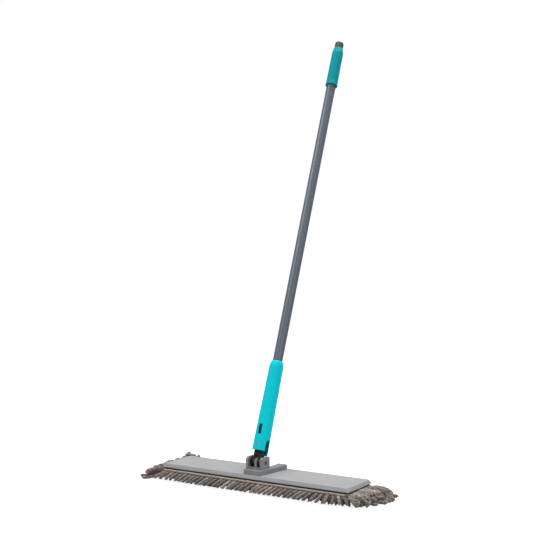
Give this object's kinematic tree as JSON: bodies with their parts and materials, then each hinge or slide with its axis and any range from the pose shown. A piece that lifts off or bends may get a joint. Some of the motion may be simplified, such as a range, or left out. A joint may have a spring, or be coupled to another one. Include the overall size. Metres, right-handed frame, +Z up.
{
  "type": "flat floor mop",
  "caption": "Flat floor mop with a leaning handle on a two-way joint, a rigid bevelled plate and a fringed yarn pad held by touch tape.",
  "frame": {"origin": "on the floor under the centre of the pad", "axes": "+X along the plate, +Y towards the back where the handle leans, +Z up"},
  "size_m": [0.707, 0.4928, 1.1795],
  "materials": {
    "yarn": "matte",
    "backing_cloth": "matte",
    "binding_cord": "matte",
    "loop_tape": "matte",
    "hook_tape": "matte",
    "plate_plastic": "satin",
    "pan_plastic": "matte",
    "base_plastic": "satin",
    "zinc_steel": "satin",
    "washer_rubber": "matte",
    "black_plastic": "satin",
    "sleeve_plastic": "satin",
    "tube_metal": "satin",
    "grip_plastic": "satin",
    "cap_plastic": "satin"
  },
  "bodies": {
    "pad": {"pile": "yarn", "pad_backing": "backing_cloth", "pad_binding": "binding_cord", "loop_tapes": "loop_tape", "fringe_front": "yarn", "fringe_back": "yarn", "fringe_left": "yarn", "fringe_right": "yarn"},
    "frame": {"hook_tapes": "hook_tape", "plate_cover": "plate_plastic", "plate_pan": "pan_plastic", "pan_screws": "zinc_steel", "joint_base": "base_plastic", "base_screws": "zinc_steel", "tilt_pin": "zinc_steel", "pin_caps": "base_plastic", "friction_washers": "washer_rubber"},
    "knuckle": {"knuckle": "black_plastic", "swing_bush": "zinc_steel"},
    "handle": {"lower_sleeve": "sleeve_plastic", "swing_screw": "zinc_steel", "swing_nut": "zinc_steel", "tube_screw": "zinc_steel", "pole_tube": "tube_metal", "tube_plug": "black_plastic", "hand_grip": "grip_plastic", "end_cap": "cap_plastic"},
    "lock_slider": {"slider_button": "black_plastic", "brake_tongue": "black_plastic"}
  },
  "joints": [
    {"name": "frame_lift", "type": "slide", "parent": "pad", "child": "frame", "axis": [0, 0, 1], "range_m": [0, 0.06]},
    {"name": "handle_tilt", "type": "hinge", "parent": "frame", "child": "knuckle", "pos_m": [0, -0.025, 0.0688], "axis": [1, 0, 0], "range_deg": [-55, 95]},
    {"name": "handle_swing", "type": "hinge", "parent": "knuckle", "child": "handle", "pos_m": [0, -0.00995, 0.10801], "axis": [0, 0.9336, -0.3584], "range_deg": [-80, 80]},
    {"name": "lock_slide", "type": "slide", "parent": "handle", "child": "lock_slider", "axis": [0, -0.3584, -0.9336], "range_m": [0, 0.01]}
  ]
}
